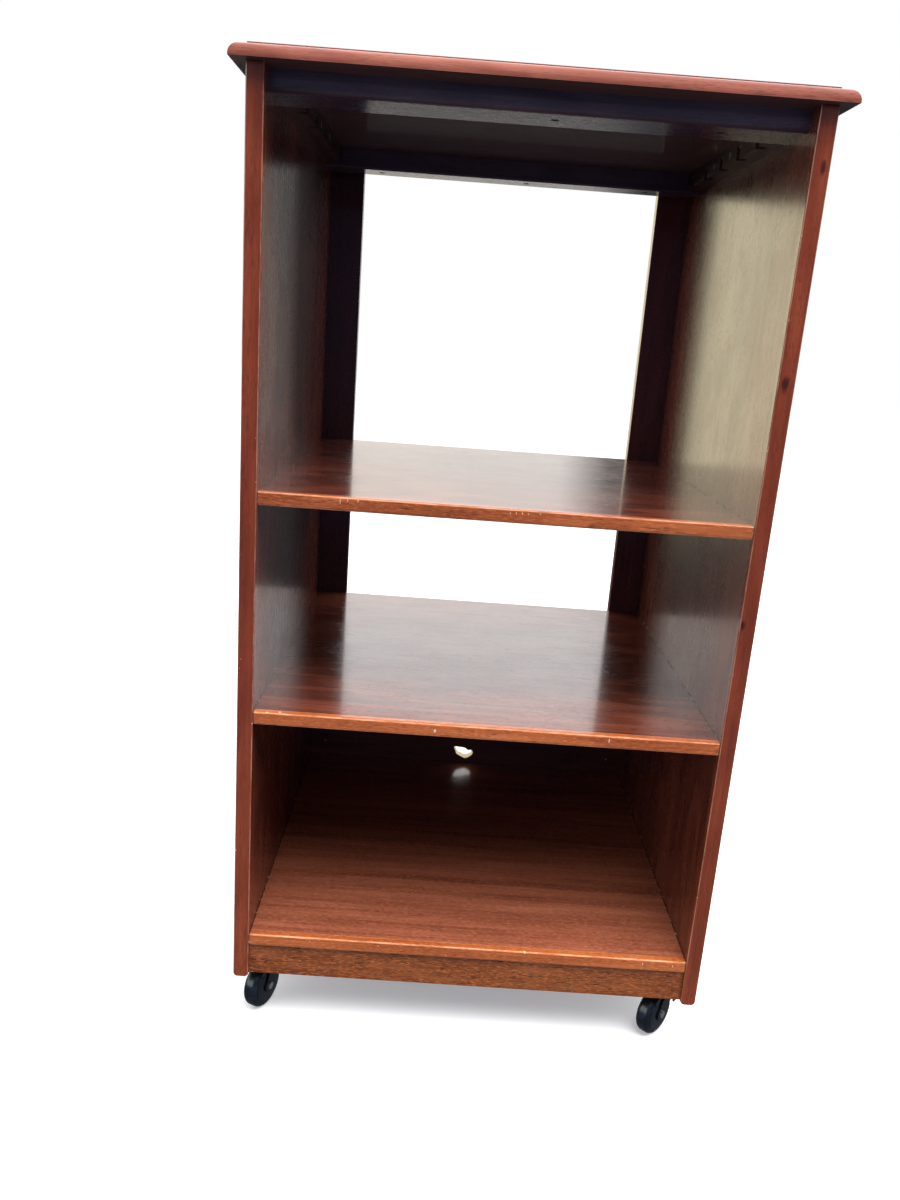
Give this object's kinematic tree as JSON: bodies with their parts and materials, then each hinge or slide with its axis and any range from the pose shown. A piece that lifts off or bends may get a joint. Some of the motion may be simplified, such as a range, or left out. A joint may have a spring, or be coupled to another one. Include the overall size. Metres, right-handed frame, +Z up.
{
  "type": "mobile printer stand",
  "caption": "Open-fronted mahogany-veneered printer stand with shelves, an open rear window, a moulded top and swivelling hooded casters.",
  "frame": {"origin": "centre of the underside of the bounding box, on the floor between the casters", "axes": "+Z up, the open front toward -Y, +X to the right as seen from the front"},
  "size_m": [0.525, 0.4984, 0.96],
  "materials": {
    "mahogany_veneer": "red-brown mahogany veneer under gloss lacquer",
    "mahogany_lipping": "solid mahogany lipping, satin-gloss lacquer, nicked",
    "stained_rail": "solid hardwood stained red-brown, satin lacquer",
    "stained_softwood": "softwood batten, brown stain, matt",
    "beech_dowel": "plain fluteless beech dowel",
    "zinc_screw": "zinc plated, dulled",
    "bright_steel": "bright plated steel",
    "black_hood": "glossy black moulding",
    "black_wheel": "black nylon, polished by wear"
  },
  "bodies": {
    "cabinet": {"back_panel_pins": "zinc_screw", "batten_side_screws": "zinc_screw", "bottom_board": "mahogany_veneer", "bottom_board_lipping": "mahogany_lipping", "caster_block_front_left": "stained_softwood", "caster_block_front_right": "stained_softwood", "caster_block_rear_left": "stained_softwood", "caster_block_rear_right": "stained_softwood", "caster_block_screws": "zinc_screw", "caster_socket_front_left": "bright_steel", "caster_socket_front_right": "bright_steel", "caster_socket_rear_left": "bright_steel", "caster_socket_rear_right": "bright_steel", "front_kick_rail": "stained_rail", "front_top_rail": "stained_rail", "joint_dowels": "beech_dowel", "lower_back_panel": "mahogany_veneer", "lower_shelf": "mahogany_veneer", "lower_shelf_lipping": "mahogany_lipping", "rear_kick_rail": "stained_rail", "rear_stile_left": "stained_rail", "rear_stile_right": "stained_rail", "rear_top_rail": "stained_rail", "side_lipping_left": "mahogany_lipping", "side_lipping_right": "mahogany_lipping", "side_panel_left": "mahogany_veneer", "side_panel_right": "mahogany_veneer", "top_batten_left": "stained_softwood", "top_batten_right": "stained_softwood", "top_batten_screws": "zinc_screw", "top_board": "mahogany_veneer", "top_rail_screws": "zinc_screw", "upper_shelf": "mahogany_veneer", "upper_shelf_lipping": "mahogany_lipping"},
    "swivel_front_left": {"caster_stem_front_left": "bright_steel", "caster_hood_front_left": "black_hood", "caster_axle_front_left": "bright_steel"},
    "wheel_front_left": {"caster_wheel_front_left": "black_wheel"},
    "swivel_front_right": {"caster_stem_front_right": "bright_steel", "caster_hood_front_right": "black_hood", "caster_axle_front_right": "bright_steel"},
    "wheel_front_right": {"caster_wheel_front_right": "black_wheel"},
    "swivel_rear_left": {"caster_stem_rear_left": "bright_steel", "caster_hood_rear_left": "black_hood", "caster_axle_rear_left": "bright_steel"},
    "wheel_rear_left": {"caster_wheel_rear_left": "black_wheel"},
    "swivel_rear_right": {"caster_stem_rear_right": "bright_steel", "caster_hood_rear_right": "black_hood", "caster_axle_rear_right": "bright_steel"},
    "wheel_rear_right": {"caster_wheel_rear_right": "black_wheel"}
  },
  "joints": [
    {"name": "swivel_front_left", "type": "hinge", "parent": "cabinet", "child": "swivel_front_left", "pos_m": [-0.2197, -0.19205, 0.07], "axis": [0, 0, 1], "continuous": true},
    {"name": "roll_front_left", "type": "hinge", "parent": "swivel_front_left", "child": "wheel_front_left", "pos_m": [-0.22478, -0.20347, 0.0255], "axis": [0.9135, -0.4067, 0], "continuous": true},
    {"name": "swivel_front_right", "type": "hinge", "parent": "cabinet", "child": "swivel_front_right", "pos_m": [0.223, -0.19775, 0.07], "axis": [0, 0, 1], "continuous": true},
    {"name": "roll_front_right", "type": "hinge", "parent": "swivel_front_right", "child": "wheel_front_right", "pos_m": [0.21447, -0.20689, 0.0255], "axis": [0.7314, -0.682, 0], "continuous": true},
    {"name": "swivel_rear_left", "type": "hinge", "parent": "cabinet", "child": "swivel_rear_left", "pos_m": [-0.2205, 0.19725, 0.07], "axis": [0, 0, 1], "continuous": true},
    {"name": "roll_rear_left", "type": "hinge", "parent": "swivel_rear_left", "child": "wheel_rear_left", "pos_m": [-0.21333, 0.18701, 0.0255], "axis": [0.8192, 0.5736, 0], "continuous": true},
    {"name": "swivel_rear_right", "type": "hinge", "parent": "cabinet", "child": "swivel_rear_right", "pos_m": [0.2205, 0.20125, 0.07], "axis": [0, 0, 1], "continuous": true},
    {"name": "roll_rear_right", "type": "hinge", "parent": "swivel_rear_right", "child": "wheel_rear_right", "pos_m": [0.20805, 0.20016, 0.0255], "axis": [0.0872, -0.9962, 0], "continuous": true}
  ]
}
